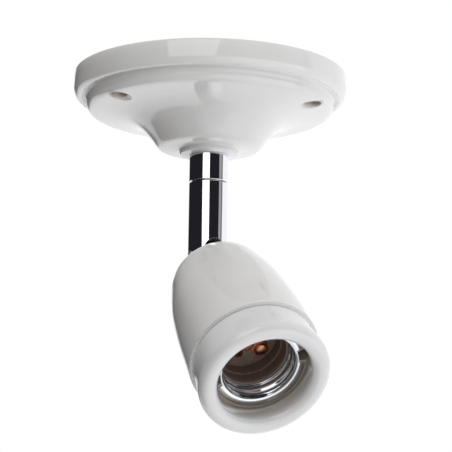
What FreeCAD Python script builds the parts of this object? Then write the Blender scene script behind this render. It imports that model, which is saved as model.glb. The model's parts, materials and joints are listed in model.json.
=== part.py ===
import FreeCAD, Part
import math
import os

# Swivelling ceiling heat lamp holder.  Millimetres, +Z up.
# The origin is the centre of the ceiling rose's back face; the fixture hangs below it.
# Two moving parts: the tube turns about Z under the collar, and the lamp holder tilts
# about a level axis in the fork at the tube's lower end.

# ---------------------------------------------------------------- driving dimensions

# ceiling rose
ROSE_R = 50.0
ROSE_EDGE_Z = -9.3
PLATE_EDGE_R = 45.2
PLATE_EDGE_Z = -13.8
NECK_R = 19.0
NECK_Z = -28.2
BOSS_R = 10.8
BOSS_Z = -30.4
CAVITY_FLOOR_Z = -23.2
SCREW_CIRCLE_R = 40.5
SCREW_HOLE_R = 2.5
SCREW_PILLAR_R = 4.4
SCREW_HOLE_ANGLES = (90.0, 210.0, 330.0)

# centre line hardware of the rose
NIPPLE_R = 5.0
NIPPLE_BORE_R = 3.3
NIPPLE_TOP_Z = -17.4
NIPPLE_END_Z = -36.2
THREAD_DEPTH = 0.5

# swivel tube
TUBE_R = 7.1
LEAD_BORE_R = 3.2
COLLAR_END_Z = -40.7
SEAM_GAP = 0.3
SPIGOT_R = 4.6
SPIGOT_FIT = 0.05

# fork and tilt joint
PIVOT_Z = -69.4
SLOT_WIDTH = 7.6
SLOT_TOP_ABOVE_PIVOT = 6.9
FORK_END_R = 7.1
MOVING_GAP = 0.3
PIVOT_SCREW_R = 1.5
PIVOT_HEAD_R = 2.6
PIVOT_FIT = 0.05

# lamp holder: T is the distance from the tilt axis along the holder's own axis
HOLDER_TILT = 44.5
HOLDER_TURN = 17.6
SHOULDER_T = 7.5
DOME_TOP_T = 9.4
SEAT_T = 10.4
DOME_WALL_T = 14.6
SEAM_T = 59.0
MOUTH_T = 65.6
RIM_T = 73.9
SEAM_R = 23.4
SKIRT_NECK_R = 22.55
RIM_R = 23.6
LAMP_WAY_R = 17.1
CORE_R = 17.6
CORE_BACK_T = 41.6
CORE_FLOOR_T = 49.1
CORE_LEDGE_T = 53.2
CORE_TOP_T = 65.2
NOTCH_ANGLE = 26.6
CORE_SCREW_CIRCLE_R = 15.9
CORE_SCREW_SEAT_T = CORE_TOP_T - 6.0

# lamp thread: round wave rolled in thin sheet
THREAD_PITCH = 3.629
SHELL_MID_R = 12.95
SHELL_WAVE = 0.45
SHELL_SHEET = 0.4
SHELL_DEPTH = 7.6
FLANGE_R = 16.25

# contacts on the floor of the core and the terminals riveted behind them
CONTACT_R = 7.0
CENTRE_CONTACT_ANGLE = -22.0
SIDE_CONTACT_ANGLE = -150.0
CONTACT_SHEET = 0.5
CONTACT_HALF_WIDTH = 1.6
RISER_R = 12.9
TERMINAL_WIRE_R = CONTACT_R - 1.2
TERMINAL_LOW = CORE_BACK_T - 7.5

# terminal block in the rose
BLOCK_SIZE = (28.0, 13.0, 9.0)
BLOCK_Y = 21.0
BLOCK_TOP_Z = -1.0
POLE_PITCH = 8.5
POLES = (-POLE_PITCH, 0.0, POLE_PITCH)
POLE_Z = BLOCK_TOP_Z - 5.4
LEAD_R = 1.0

ORIGIN = FreeCAD.Vector(0, 0, 0)
AXIS_X = FreeCAD.Vector(1, 0, 0)
AXIS_Y = FreeCAD.Vector(0, 1, 0)
AXIS_Z = FreeCAD.Vector(0, 0, 1)


# ---------------------------------------------------------------- helpers

def vec(x, y, z):
    return FreeCAD.Vector(x, y, z)


def profile(*pieces):
    """Face in the XZ plane from pieces ("line" or "curve", [(radius, height), ...])."""
    edges = []
    start = None
    last = None
    for kind, points in pieces:
        spots = [vec(r, 0, z) for r, z in points]
        if last is None:
            start = spots[0]
        elif last.distanceToPoint(spots[0]) > 1e-6:
            edges.append(Part.LineSegment(last, spots[0]).toShape())
        if kind == "curve":
            curve = Part.BSplineCurve()
            curve.interpolate(spots)
            edges.append(curve.toShape())
        else:
            for a, b in zip(spots, spots[1:]):
                if a.distanceToPoint(b) > 1e-6:
                    edges.append(Part.LineSegment(a, b).toShape())
        last = spots[-1]
    if last.distanceToPoint(start) > 1e-6:
        edges.append(Part.LineSegment(last, start).toShape())
    return Part.Face(Part.Wire(edges))


def lathe(*pieces):
    solid = profile(*pieces).revolve(ORIGIN, AXIS_Z, 360)
    if solid.Volume < 0:
        solid.reverse()
    return solid


def ring(r_in, r_out, low, high, edge=0.0):
    """Washer or tube along Z with its outer corners broken by edge."""
    return lathe(("line", [(r_in, low), (r_out - edge, low), (r_out, low + edge),
                           (r_out, high - edge), (r_out - edge, high), (r_in, high)]))


def rod(radius, low, high, x=0.0, y=0.0):
    return Part.makeCylinder(radius, high - low, vec(x, y, low), AXIS_Z)


def box(x0, x1, y0, y1, z0, z1):
    return Part.makeBox(x1 - x0, y1 - y0, z1 - z0, vec(x0, y0, z0))


def turned(shape, angle):
    copy = shape.copy()
    copy.rotate(ORIGIN, AXIS_Z, angle)
    return copy


def thread_points(radius, low, high, pitch=1.0):
    """Crest and root corners of a thread drawn as closed grooves."""
    points = []
    count = int((high - low) / pitch)
    for i in range(count):
        z = low + i * pitch
        points.append((radius, z + 0.15 * pitch))
        points.append((radius, z + 0.35 * pitch))
        points.append((radius - THREAD_DEPTH, z + 0.75 * pitch))
    points.append((radius, high))
    return points


def threaded_tube(radius, bore, low, high):
    points = [(bore, low), (radius - THREAD_DEPTH, low)]
    points += thread_points(radius, low, high)
    return lathe(("line", points + [(bore, high)]))


def hex_nut(across_flats, bore, low, high):
    """Hexagon nut with its corners turned off on both faces."""
    corner = across_flats / math.sqrt(3)
    spots = []
    for i in range(7):
        a = math.radians(60 * i + 30)
        spots.append(vec(corner * math.cos(a), corner * math.sin(a), low))
    body = Part.Face(Part.makePolygon(spots)).extrude(vec(0, 0, high - low))
    cut = corner - across_flats / 2
    turned_body = lathe(("line", [(0, low), (corner - cut, low), (corner + 0.2, low + 0.6 * cut),
                                  (corner + 0.2, high - 0.6 * cut), (corner - cut, high),
                                  (0, high)]))
    return body.common(turned_body).cut(rod(bore, low - 1, high + 1))


def pan_screw(radius, head_r, head_h, seat, tip, slot=0.7):
    """Slotted screw pointing down: the head's underside is at seat and the tip at tip."""
    body = lathe(("line", [(0, tip), (radius - 0.4, tip), (radius, tip + 0.5), (radius, seat),
                           (head_r, seat), (head_r, seat + 0.55 * head_h)]),
                 ("curve", [(head_r, seat + 0.55 * head_h),
                            (0.8 * head_r, seat + 0.85 * head_h),
                            (0.45 * head_r, seat + head_h)]),
                 ("line", [(0.45 * head_r, seat + head_h), (0, seat + head_h)]))
    return body.cut(box(-head_r - 1, head_r + 1, -slot / 2, slot / 2,
                        seat + 0.5 * head_h, seat + head_h + 1))


def lead(radius, bend, corners):
    """Round wire along straight runs, with each corner rounded to the bend radius."""
    spots = [vec(*c) for c in corners]
    edges = []
    start = spots[0]
    for before, corner, after in zip(spots, spots[1:], spots[2:]):
        way_in = (corner - before).normalize()
        way_out = (after - corner).normalize()
        half = way_in.getAngle(way_out) / 2
        trim = bend * math.tan(half)
        inward = (way_out - way_in).normalize()
        arc_start = corner - way_in * trim
        arc_end = corner + way_out * trim
        arc_mid = corner + inward * (bend / math.cos(half) - bend)
        edges.append(Part.LineSegment(start, arc_start).toShape())
        edges.append(Part.Arc(arc_start, arc_mid, arc_end).toShape())
        start = arc_end
    edges.append(Part.LineSegment(start, spots[-1]).toShape())
    section = Part.Wire(Part.makeCircle(radius, spots[0], spots[1] - spots[0]))
    wire = Part.Wire(edges).makePipeShell([section], True, True)
    if wire.Volume < 0:
        wire.reverse()
    return wire


def at(shape, x, y, z=0.0):
    copy = shape.copy()
    copy.translate(vec(x, y, z))
    return copy


def on_circle(radius, angle):
    a = math.radians(angle)
    return radius * math.cos(a), radius * math.sin(a)


def place_swivel(shape):
    """Turn a part built square to X and Y to the swivel's rest direction."""
    return turned(shape, HOLDER_TURN)


def place_holder(shape):
    """Move a part built along +Z from the tilt axis to the holder's rest position."""
    copy = shape.copy()
    copy.rotate(ORIGIN, AXIS_X, 180 - HOLDER_TILT)
    copy.rotate(ORIGIN, AXIS_Z, HOLDER_TURN)
    copy.translate(vec(0, 0, PIVOT_Z))
    return copy


# ---------------------------------------------------------------- rose body

def ceiling_rose():
    body = lathe(
        ("line", [(44.5, 0), (49.4, 0), (ROSE_R, -0.6), (ROSE_R, ROSE_EDGE_Z + 2.6)]),
        ("curve", [(ROSE_R, ROSE_EDGE_Z + 2.6), (49.3, ROSE_EDGE_Z + 0.9),
                   (47.9, ROSE_EDGE_Z + 0.1), (46.6, ROSE_EDGE_Z + 0.1),
                   (45.9, ROSE_EDGE_Z - 0.7)]),
        ("line", [(45.9, ROSE_EDGE_Z - 0.7), (PLATE_EDGE_R, PLATE_EDGE_Z + 1.6)]),
        ("curve", [(PLATE_EDGE_R, PLATE_EDGE_Z + 1.6), (44.5, PLATE_EDGE_Z + 0.3),
                   (42.9, PLATE_EDGE_Z - 0.5), (38.0, PLATE_EDGE_Z - 1.3),
                   (33.0, PLATE_EDGE_Z - 2.3), (28.5, PLATE_EDGE_Z - 3.9),
                   (25.0, PLATE_EDGE_Z - 6.2), (22.4, PLATE_EDGE_Z - 8.9),
                   (20.6, PLATE_EDGE_Z - 11.2), (NECK_R + 0.3, NECK_Z + 1.4),
                   (18.2, NECK_Z + 0.4), (16.6, NECK_Z)]),
        ("line", [(16.6, NECK_Z), (BOSS_R + 0.9, NECK_Z)]),
        ("curve", [(BOSS_R + 0.9, NECK_Z), (BOSS_R + 0.2, NECK_Z - 0.3), (BOSS_R, NECK_Z - 0.9)]),
        ("line", [(BOSS_R, NECK_Z - 0.9), (BOSS_R, BOSS_Z + 0.7), (BOSS_R - 0.7, BOSS_Z),
                  (NIPPLE_R + 0.2, BOSS_Z), (NIPPLE_R + 0.2, CAVITY_FLOOR_Z),
                  (13.3, CAVITY_FLOOR_Z)]),
        ("curve", [(13.3, CAVITY_FLOOR_Z), (15.6, -22.0), (17.5, -18.6), (20.5, -14.8),
                   (25.5, -12.0), (32.0, -10.6), (39.5, -9.6)]),
        ("line", [(39.5, -9.6), (44.5, -4.8)]))
    pad = box(-12.5, 12.5, BLOCK_Y - 5.5, BLOCK_Y + 5.5, -17.0, BLOCK_TOP_Z - BLOCK_SIZE[2])
    pillars = [rod(SCREW_PILLAR_R, -12.5, 0, *on_circle(SCREW_CIRCLE_R, a))
               for a in SCREW_HOLE_ANGLES]
    body = body.fuse([pad] + pillars)
    mouth = lathe(("line", [(0, -20), (5.4, -20), (5.4, -16.2)]),
                  ("curve", [(5.4, -16.2), (4.3, -15.0), (3.1, -14.1), (SCREW_HOLE_R, -12.6)]),
                  ("line", [(SCREW_HOLE_R, -12.6), (SCREW_HOLE_R, 1), (0, 1)]))
    holes = [at(mouth, *on_circle(SCREW_CIRCLE_R, a)) for a in SCREW_HOLE_ANGLES]
    fixings = [rod(1.2, -14.0, 0, x, BLOCK_Y) for x in (-POLE_PITCH / 2, POLE_PITCH / 2)]
    return body.cut(holes + fixings)


def fixed_collar():
    plate_top = COLLAR_END_Z + 2.0
    chamber_r = 6.3
    return lathe(("line", [(NIPPLE_R, BOSS_Z), (TUBE_R - 0.25, BOSS_Z), (TUBE_R, BOSS_Z - 0.25),
                           (TUBE_R, COLLAR_END_Z + 0.2), (TUBE_R - 0.2, COLLAR_END_Z),
                           (SPIGOT_R + SPIGOT_FIT, COLLAR_END_Z),
                           (SPIGOT_R + SPIGOT_FIT, plate_top), (chamber_r, plate_top),
                           (chamber_r, NIPPLE_END_Z + 0.4), (NIPPLE_R, NIPPLE_END_Z + 1.0)]))


def earth_tag():
    """Ring tag under the nut with a crimped barrel pointing to the block."""
    low, high = CAVITY_FLOOR_Z + 1.0, CAVITY_FLOOR_Z + 1.8
    plate = ring(NIPPLE_R, 8.2, low, high)
    neck = box(7.0, 9.5, -1.4, 1.4, low, high)
    barrel = Part.makeCylinder(1.7, 4.0, vec(8.5, 0, low + 1.7), AXIS_X)
    hollow = Part.makeCylinder(1.15, 3.4, vec(9.2, 0, low + 1.7), AXIS_X)
    return turned(plate.fuse([neck, barrel]).cut(hollow), 90)


def terminal_block():
    sx, sy, sz = BLOCK_SIZE
    body = box(-sx / 2, sx / 2, BLOCK_Y - sy / 2, BLOCK_Y + sy / 2, BLOCK_TOP_Z - sz, BLOCK_TOP_Z)
    body = body.makeFillet(0.8, [e for e in body.Edges if abs(e.Vertexes[0].Z - e.Vertexes[1].Z) > 1])
    cuts = []
    for x in POLES:
        cuts.append(Part.makeCylinder(2.3, sy + 2, vec(x, BLOCK_Y - sy / 2 - 1, POLE_Z), AXIS_Y))
        for dy in (-3.2, 3.2):
            cuts.append(rod(1.5, POLE_Z, BLOCK_TOP_Z + 1, x, BLOCK_Y + dy))
    for x in (-POLE_PITCH / 2, POLE_PITCH / 2):
        cuts.append(rod(1.2, -20, BLOCK_TOP_Z + 1, x, BLOCK_Y))
        cuts.append(rod(2.3, BLOCK_TOP_Z - 2.0, BLOCK_TOP_Z + 1, x, BLOCK_Y))
    return body.cut(cuts)


def terminal_tube(x):
    outer = Part.makeCylinder(2.3, 11.0, vec(x, BLOCK_Y - 5.5, POLE_Z), AXIS_Y)
    bore = Part.makeCylinder(1.5, 13.0, vec(x, BLOCK_Y - 6.5, POLE_Z), AXIS_Y)
    holes = [rod(1.5, POLE_Z, POLE_Z + 4, x, BLOCK_Y + dy) for dy in (-3.2, 3.2)]
    return outer.cut([bore] + holes)


def terminal_tubes():
    return Part.makeCompound([terminal_tube(x) for x in POLES])


def terminal_screws():
    """Grub screws of the terminal block, each stopping just above its wire."""
    tip = POLE_Z + LEAD_R + 0.15
    grub = rod(1.5, tip, tip + 2.6).cut(box(-2, 2, -0.3, 0.3, tip + 1.8, tip + 3))
    return Part.makeCompound([at(grub, x, BLOCK_Y + dy) for x in POLES for dy in (-3.2, 3.2)])


def block_screws():
    screw = pan_screw(1.2, 2.1, 1.6, BLOCK_TOP_Z - 2.0, -14.0)
    return Part.makeCompound([at(screw, x, BLOCK_Y) for x in (-POLE_PITCH / 2, POLE_PITCH / 2)])


def rose_lead(side):
    """Lead from an outer pole over the nipple's mouth and down its bore."""
    return lead(LEAD_R, 3.5, [(side * POLE_PITCH, BLOCK_Y - 2, POLE_Z),
                              (side * POLE_PITCH, BLOCK_Y - 10, POLE_Z),
                              (side * 1.2, 0, POLE_Z - 6.6),
                              (side * 1.2, 0, NIPPLE_END_Z - 0.3)])


def earth_lead():
    tag_z = CAVITY_FLOOR_Z + 2.7
    return lead(LEAD_R, 1.6, [(0, 9.6, tag_z), (0, 14.2, tag_z),
                              (0, 11.8, POLE_Z), (0, BLOCK_Y - 2, POLE_Z)])


# ---------------------------------------------------------------- swivel body

def swivel_tube():
    """Turned bar: bore for the leads, threaded pocket at the top and fork at the bottom."""
    top = COLLAR_END_Z - SEAM_GAP
    outer = lathe(("line", [(0, top), (TUBE_R - 0.2, top), (TUBE_R, top - 0.2),
                            (TUBE_R, PIVOT_Z - FORK_END_R), (0, PIVOT_Z - FORK_END_R)]))
    ends = Part.makeCylinder(FORK_END_R, 20, vec(-10, 0, PIVOT_Z), AXIS_X)
    ends = ends.fuse(box(-10, 10, -10, 10, PIVOT_Z, 0))
    arch_r = SLOT_WIDTH / 2
    arch_z = PIVOT_Z + SLOT_TOP_ABOVE_PIVOT - arch_r
    slot = Part.makeCylinder(arch_r, 20, vec(0, -10, arch_z), AXIS_Y)
    slot = slot.fuse(box(-arch_r, arch_r, -10, 10, PIVOT_Z - 10, arch_z))
    bores = [rod(LEAD_BORE_R, PIVOT_Z, top + 1), rod(5.6, top - 9.0, top + 1)]
    for side in (-1, 1):
        along = vec(side, 0, 0)
        bores.append(Part.makeCylinder(PIVOT_SCREW_R + PIVOT_FIT, 9, vec(0, 0, PIVOT_Z), along))
        bores.append(Part.makeCylinder(PIVOT_HEAD_R + MOVING_GAP, 4,
                                       vec(side * 5.3, 0, PIVOT_Z), along))
    return place_swivel(outer.common(ends).cut([slot] + bores))


def swivel_bush():
    """Brass bush screwed into the tube; its neck turns in the collar's end plate."""
    seat = COLLAR_END_Z - SEAM_GAP
    groove_z = COLLAR_END_Z + 2.0 + MOVING_GAP
    return lathe(("line", [(LEAD_BORE_R, seat - 9.0), (5.6, seat - 9.0), (5.6, seat),
                           (SPIGOT_R, seat), (SPIGOT_R, groove_z), (SPIGOT_R - 0.6, groove_z),
                           (SPIGOT_R - 0.6, groove_z + 0.8), (SPIGOT_R, groove_z + 0.8),
                           (SPIGOT_R, groove_z + 1.3), (LEAD_BORE_R, groove_z + 1.3)]))


def swivel_clip():
    """Spring clip in the bush's groove that carries the tube on the collar's end plate."""
    low = COLLAR_END_Z + 2.0 + MOVING_GAP
    body = ring(SPIGOT_R - 0.6, 5.9, low, low + 0.8)
    return body.cut(box(0, 10, -1.6, 1.6, low - 1, low + 2))


def tube_lead(side):
    top = COLLAR_END_Z + 2.0
    bottom = PIVOT_Z + SLOT_TOP_ABOVE_PIVOT + 0.4
    return place_swivel(rod(LEAD_R, bottom, top, side * 1.2, 0))


# ---------------------------------------------------------------- holder body

def knuckle():
    """Tongue that turns in the fork, with the hollow threaded stem that holds the dome."""
    cheek = SLOT_WIDTH / 2 - MOVING_GAP
    arch_centre = SLOT_TOP_ABOVE_PIVOT - SLOT_WIDTH / 2
    crown = arch_centre + cheek
    bend = cheek / math.sqrt(2)
    half = [vec(-cheek, 0, 0), vec(-cheek, 0, arch_centre)]
    arc = Part.Arc(half[1], vec(0, 0, crown), vec(cheek, 0, arch_centre)).toShape()
    edges = [Part.LineSegment(half[0], half[1]).toShape(), arc,
             Part.LineSegment(vec(cheek, 0, arch_centre), vec(cheek, 0, 0)).toShape(),
             Part.LineSegment(vec(cheek, 0, 0), half[0]).toShape()]
    disc = Part.Face(Part.Wire(edges)).revolve(ORIGIN, AXIS_X, 360)
    if disc.Volume < 0:
        disc.reverse()
    neck = box(-cheek, cheek, -4.1, 4.1, 0, SHOULDER_T)
    neck = neck.fuse(box(-bend, bend, -5.2, 5.2, 0, SHOULDER_T))
    foot = ring(0, FORK_END_R, SHOULDER_T, SEAT_T, 0.2)
    points = [(0, SEAT_T), (NIPPLE_R - THREAD_DEPTH, SEAT_T)]
    points += thread_points(NIPPLE_R, SEAT_T, SEAT_T + 11.6)
    stem = lathe(("line", points + [(0, SEAT_T + 11.6)]))
    body = disc.fuse([neck, foot, stem])
    bore = rod(2.4, -10, 30)
    pin = Part.makeCylinder(PIVOT_SCREW_R, 20, vec(-10, 0, 0), AXIS_X)
    return place_holder(body.cut([bore, pin]))


def pivot_screws():
    """One short shouldered screw through each ear of the fork into the tongue."""
    screws = []
    for side in (-1, 1):
        screw = pan_screw(PIVOT_SCREW_R, PIVOT_HEAD_R, 1.4, 5.6, 2.4, 0.6)
        screw.rotate(ORIGIN, AXIS_Y, side * 90)
        screws.append(screw)
    return place_holder(Part.makeCompound(screws))


def holder_dome():
    body = lathe(
        ("line", [(NIPPLE_R + 0.2, SEAT_T), (7.5, SEAT_T), (7.5, DOME_TOP_T + 0.3),
                  (7.8, DOME_TOP_T), (12.8, DOME_TOP_T)]),
        ("curve", [(12.8, DOME_TOP_T), (14.6, DOME_TOP_T + 0.6), (16.1, DOME_TOP_T + 2.1),
                   (17.4, DOME_TOP_T + 5.0), (18.3, 17.3), (20.5, 26.0), (21.8, 35.0),
                   (22.7, 44.0), (23.2, 52.0), (SEAM_R, SEAM_T - 0.9)]),
        ("curve", [(SEAM_R, SEAM_T - 0.9), (SEAM_R - 0.25, SEAM_T - 0.25),
                   (SEAM_R - 0.9, SEAM_T)]),
        ("line", [(SEAM_R - 0.9, SEAM_T), (20.0, SEAM_T), (20.0, 51.5), (18.0, 51.5),
                  (18.0, CORE_BACK_T), (17.7, CORE_BACK_T)]),
        ("curve", [(17.7, CORE_BACK_T), (17.2, 32.0), (16.0, 23.0), (13.6, 16.6),
                   (11.0, DOME_WALL_T)]),
        ("line", [(11.0, DOME_WALL_T), (NIPPLE_R + 0.2, DOME_WALL_T)]))
    x, y = on_circle(CORE_SCREW_CIRCLE_R, NOTCH_ANGLE)
    spots = ((x, y), (-x, -y))
    body = body.fuse([rod(3.0, 29.0, CORE_BACK_T, *s) for s in spots])
    return place_holder(body.cut([rod(1.25, 30.5, CORE_BACK_T + 1, *s) for s in spots]))


def holder_skirt():
    face = SEAM_T + 0.25
    body = lathe(
        ("line", [(19.9, face), (SKIRT_NECK_R - 0.75, face)]),
        ("curve", [(SKIRT_NECK_R - 0.75, face), (SKIRT_NECK_R - 0.2, face + 0.3),
                   (SKIRT_NECK_R, face + 1.0), (22.75, 64.0), (23.2, 67.5), (RIM_R, 70.3),
                   (23.3, 72.1), (22.4, 73.3), (20.9, RIM_T), (19.3, 73.75), (18.1, 73.1),
                   (17.35, 72.2), (LAMP_WAY_R, 71.2)]),
        ("line", [(LAMP_WAY_R, 71.2), (LAMP_WAY_R, CORE_TOP_T + 0.6),
                  (LAMP_WAY_R + 0.3, CORE_TOP_T + 0.6), (LAMP_WAY_R + 0.3, CORE_TOP_T),
                  (CORE_R + 0.15, CORE_TOP_T), (CORE_R + 0.15, 52.0), (19.4, 52.0),
                  (19.9, 52.5)]))
    x, y = on_circle(CORE_SCREW_CIRCLE_R, NOTCH_ANGLE)
    pockets = [rod(2.5, CORE_TOP_T, CORE_TOP_T + 4.0, *s) for s in ((x, y), (-x, -y))]
    return place_holder(body.cut(pockets))


def core():
    """Steatite inner body: seat for the threaded shell, ledge and floor for the contacts."""
    top = CORE_TOP_T
    shell_seat = MOUTH_T - SHELL_DEPTH - 0.2
    body = lathe(("line", [(0, CORE_BACK_T), (CORE_R - 0.6, CORE_BACK_T),
                           (CORE_R, CORE_BACK_T + 0.6), (CORE_R, top), (13.85, top),
                           (13.85, shell_seat), (12.1, shell_seat), (12.1, CORE_LEDGE_T),
                           (11.3, CORE_LEDGE_T), (11.3, CORE_FLOOR_T), (0, CORE_FLOOR_T)]))
    cuts = []
    for angle in (NOTCH_ANGLE, NOTCH_ANGLE + 180):
        channel = rod(1.5, CORE_BACK_T - 1, top + 1, CORE_SCREW_CIRCLE_R, 0)
        channel = channel.fuse(box(CORE_SCREW_CIRCLE_R, 20, -1.5, 1.5, CORE_BACK_T - 1, top + 1))
        head = rod(2.4, CORE_SCREW_SEAT_T, top + 1, CORE_SCREW_CIRCLE_R, 0)
        cuts.append(turned(channel.fuse(head), angle))
    for angle in (CENTRE_CONTACT_ANGLE, SIDE_CONTACT_ANGLE):
        cuts.append(rod(1.6, CORE_BACK_T - 1, CORE_FLOOR_T + 1, *on_circle(CONTACT_R, angle)))
    half = CONTACT_HALF_WIDTH + 0.2
    rebate = box(10.0, RISER_R + 0.2, -half, half, CORE_FLOOR_T, shell_seat + 0.2)
    cuts.append(turned(rebate, SIDE_CONTACT_ANGLE))
    return place_holder(body.cut(cuts))


def thread_shell():
    """Threaded lamp shell: two rolled turns and a flat flange with two notches."""
    low = MOUTH_T - SHELL_DEPTH
    steps = 18
    span = 2 * THREAD_PITCH
    inner = []
    for i in range(steps + 1):
        z = low + span * i / steps
        r = SHELL_MID_R - SHELL_WAVE * math.cos(2 * math.pi * (z - low) / THREAD_PITCH)
        inner.append((r, z))
    outer = [(r + SHELL_SHEET, z) for r, z in inner]
    last_r, last_z = inner[-1]
    shell = lathe(("curve", inner),
                  ("curve", [(last_r, last_z), (last_r + 0.25, MOUTH_T - 0.12),
                             (last_r + 0.75, MOUTH_T)]),
                  ("line", [(last_r + 0.75, MOUTH_T), (FLANGE_R, MOUTH_T),
                            (FLANGE_R, MOUTH_T - SHELL_SHEET),
                            (last_r + 0.95, MOUTH_T - SHELL_SHEET)]),
                  ("line", [(last_r + 0.95, MOUTH_T - SHELL_SHEET),
                            (last_r + SHELL_SHEET, last_z)]),
                  ("curve", outer[::-1]))
    notch = box(14.0, 20, -3.1, 3.1, MOUTH_T - 2, MOUTH_T + 2)
    return place_holder(shell.cut([turned(notch, NOTCH_ANGLE), turned(notch, NOTCH_ANGLE + 180)]))


def core_screws():
    screw = pan_screw(1.25, 1.75, 1.5, CORE_SCREW_SEAT_T, 31.0, 0.6)
    x, y = on_circle(CORE_SCREW_CIRCLE_R, NOTCH_ANGLE)
    return place_holder(Part.makeCompound([at(screw, x, y), at(screw, -x, -y)]))


def centre_contact():
    """Copper blade from its rivet, raised over the middle of the floor."""
    low = CORE_FLOOR_T
    high = low + CONTACT_SHEET
    half = 2.7
    pad = rod(3.0, low, high, CONTACT_R, 0).fuse(box(3.6, CONTACT_R, -half, half, low, high))
    side = [vec(3.6, -half, low), vec(3.6, -half, high), vec(1.6, -half, low + 2.6),
            vec(-2.6, -half, low + 2.9), vec(-3.6, -half, low + 2.2), vec(-3.3, -half, low + 1.8),
            vec(-2.4, -half, low + 2.4), vec(1.4, -half, low + 2.1), vec(3.6, -half, low)]
    blade = Part.Face(Part.makePolygon(side)).extrude(vec(0, 2 * half, 0))
    body = pad.fuse(blade).cut(rod(1.6, low - 1, high + 1, CONTACT_R, 0))
    return place_holder(turned(body, CENTRE_CONTACT_ANGLE))


def side_contact():
    """Copper strip up the wall to the threaded shell, with a rounded tongue on the floor."""
    low = CORE_FLOOR_T
    high = low + CONTACT_SHEET
    half = CONTACT_HALF_WIDTH
    foot = box(3.5, RISER_R, -half, half, low, high)
    pad = rod(2.6, low, high, CONTACT_R, 0)
    tongue = box(3.8 - half, 3.8 + half, 0, 4.4, low, high).fuse(rod(half, low, high, 3.8, 4.4))
    riser = box(RISER_R - CONTACT_SHEET, RISER_R, -half, half, low, MOUTH_T - SHELL_DEPTH)
    body = foot.fuse([pad, tongue, riser]).cut(rod(1.6, low - 1, high + 1, CONTACT_R, 0))
    return place_holder(turned(body, SIDE_CONTACT_ANGLE))


def contact_rivets():
    """Domed rivets that clamp the contacts to the floor and the terminals behind it."""
    low = CORE_BACK_T - 1.0
    high = CORE_FLOOR_T + CONTACT_SHEET
    rivet = lathe(("line", [(0, low), (1.6, low), (1.6, high), (2.5, high), (2.5, high + 0.3)]),
                  ("curve", [(2.5, high + 0.3), (2.1, high + 0.95), (1.2, high + 1.3),
                             (0.45, high + 1.4)]),
                  ("line", [(0.45, high + 1.4), (0, high + 1.4)]))
    spots = [on_circle(CONTACT_R, a) for a in (CENTRE_CONTACT_ANGLE, SIDE_CONTACT_ANGLE)]
    return place_holder(Part.makeCompound([at(rivet, *s) for s in spots]))


def holder_terminals():
    """Brass pillar terminals on the back of the core, each with a wire hole and screw hole."""
    blocks = []
    for angle in (CENTRE_CONTACT_ANGLE, SIDE_CONTACT_ANGLE):
        body = box(CONTACT_R - 3.2, CONTACT_R + 4.0, -2.8, 2.8, TERMINAL_LOW, CORE_BACK_T)
        screw_way = Part.makeCylinder(1.5, 9, vec(TERMINAL_WIRE_R, 0, TERMINAL_LOW + 2.6), AXIS_X)
        body = body.cut([rod(1.6, CORE_BACK_T - 1.0, CORE_BACK_T + 1, CONTACT_R, 0),
                         rod(1.3, TERMINAL_LOW - 1, CORE_BACK_T - 2, TERMINAL_WIRE_R, 0),
                         screw_way])
        blocks.append(turned(body, angle))
    return place_holder(Part.makeCompound(blocks))


def holder_terminal_screws():
    start = TERMINAL_WIRE_R + LEAD_R + 0.15
    screws = []
    for angle in (CENTRE_CONTACT_ANGLE, SIDE_CONTACT_ANGLE):
        body = Part.makeCylinder(1.5, 4.6, vec(start, 0, TERMINAL_LOW + 2.6), AXIS_X)
        body = body.cut(box(start + 3.8, start + 6, -0.3, 0.3, TERMINAL_LOW, TERMINAL_LOW + 6))
        screws.append(turned(body, angle))
    return place_holder(Part.makeCompound(screws))


def holder_lead(side, angle):
    """Lead from the tongue through the stem to one terminal."""
    x, y = on_circle(TERMINAL_WIRE_R, angle)
    return place_holder(lead(LEAD_R, 2.5, [(side * 1.15, 0, 2.0),
                                           (side * 1.15, 0, SEAT_T + 14.1),
                                           (x, y, TERMINAL_LOW - 3.4),
                                           (x, y, TERMINAL_LOW + 4.6)]))


# ---------------------------------------------------------------- parts

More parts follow.
